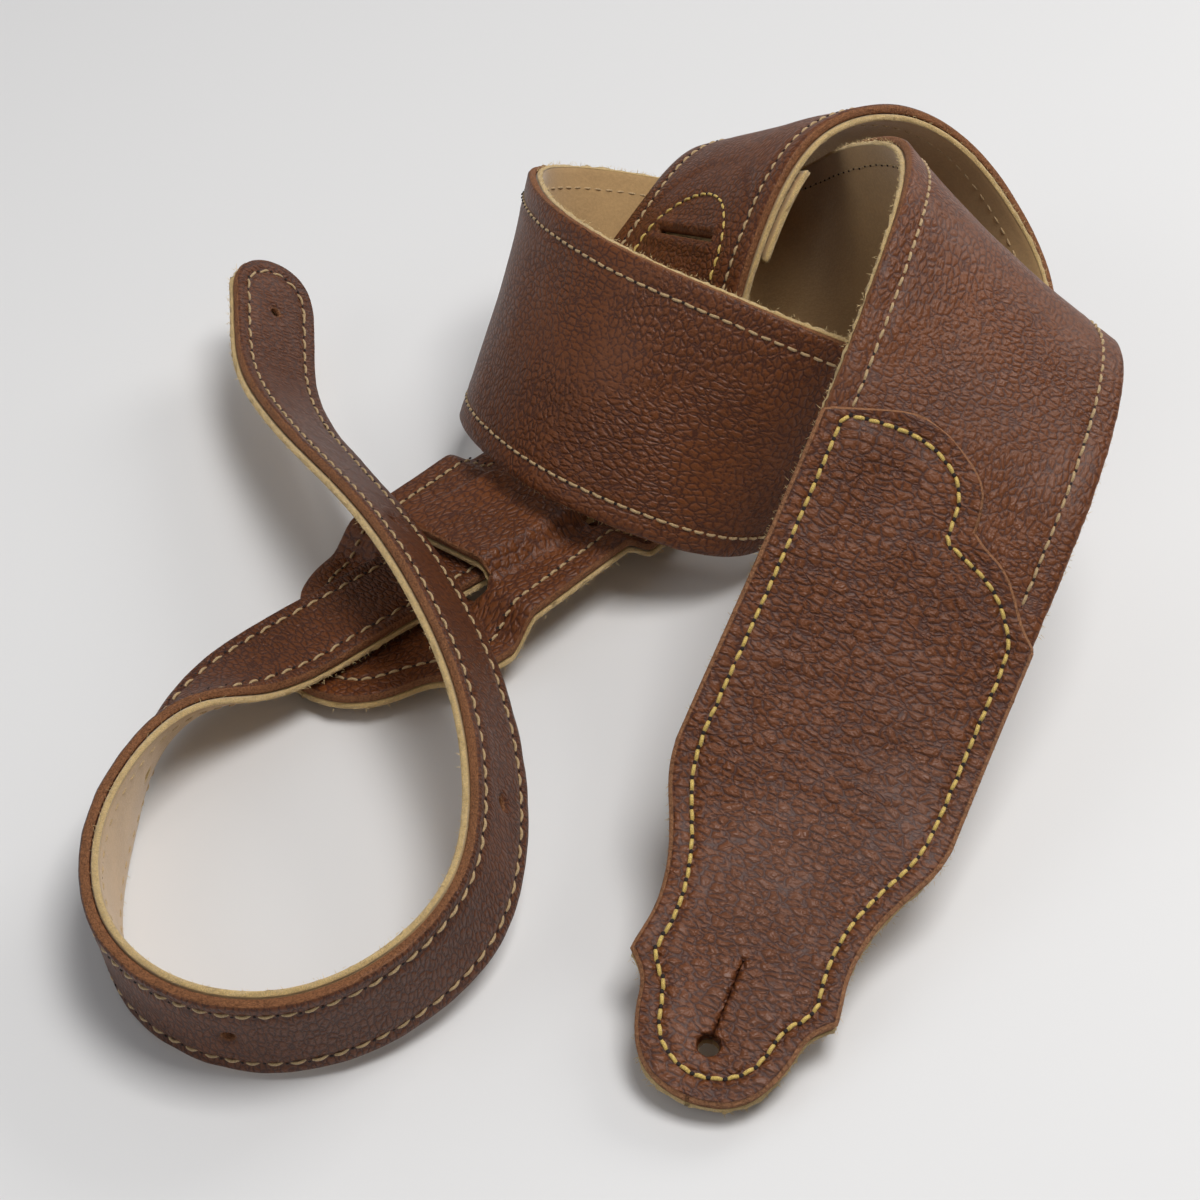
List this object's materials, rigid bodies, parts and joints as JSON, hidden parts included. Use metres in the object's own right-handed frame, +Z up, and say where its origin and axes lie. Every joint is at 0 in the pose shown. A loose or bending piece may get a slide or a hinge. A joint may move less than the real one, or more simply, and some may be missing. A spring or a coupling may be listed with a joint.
{
  "type": "guitar strap",
  "caption": "Wide two-layer leather shoulder strap lying loosely coiled, with a sewn pin tab and a narrow adjuster strap threaded through slots in its rear end.",
  "frame": {"origin": "centre of the laid strap's bounding box, on the surface that it lies on", "axes": "+Z up from the surface; +Y from the pin tab's tip towards the coil; +X to the right of someone facing the coil from the pin tab"},
  "size_m": [0.2348, 0.2978, 0.1099],
  "materials": {
    "grain_leather": "pebbled grain, satin",
    "overlay_leather": "coarse pebbled grain, satin",
    "suede": "napped suede, matte, lighter fibrous cut edge",
    "border_thread": "twisted sewing thread, satin",
    "gold_thread": "thick twisted sewing thread, satin"
  },
  "bodies": {
    "strap": {"strap_face": "grain_leather", "strap_backing": "suede", "border_needle_thread": "border_thread", "border_bobbin_thread": "border_thread", "front_overlay": "overlay_leather", "overlay_needle_thread": "gold_thread", "overlay_bobbin_thread": "gold_thread", "rear_keeper": "suede", "slot_arch_thread": "border_thread"},
    "adjuster": {"adjuster_face": "grain_leather", "adjuster_backing": "suede", "adjuster_needle_thread": "border_thread", "adjuster_bobbin_thread": "border_thread"}
  },
  "joints": [
    {"name": "adjuster_slide", "type": "slide", "parent": "strap", "child": "adjuster", "axis": [-0.7548, -0.6558, -0.0135], "range_m": [0, 0.02]}
  ]
}
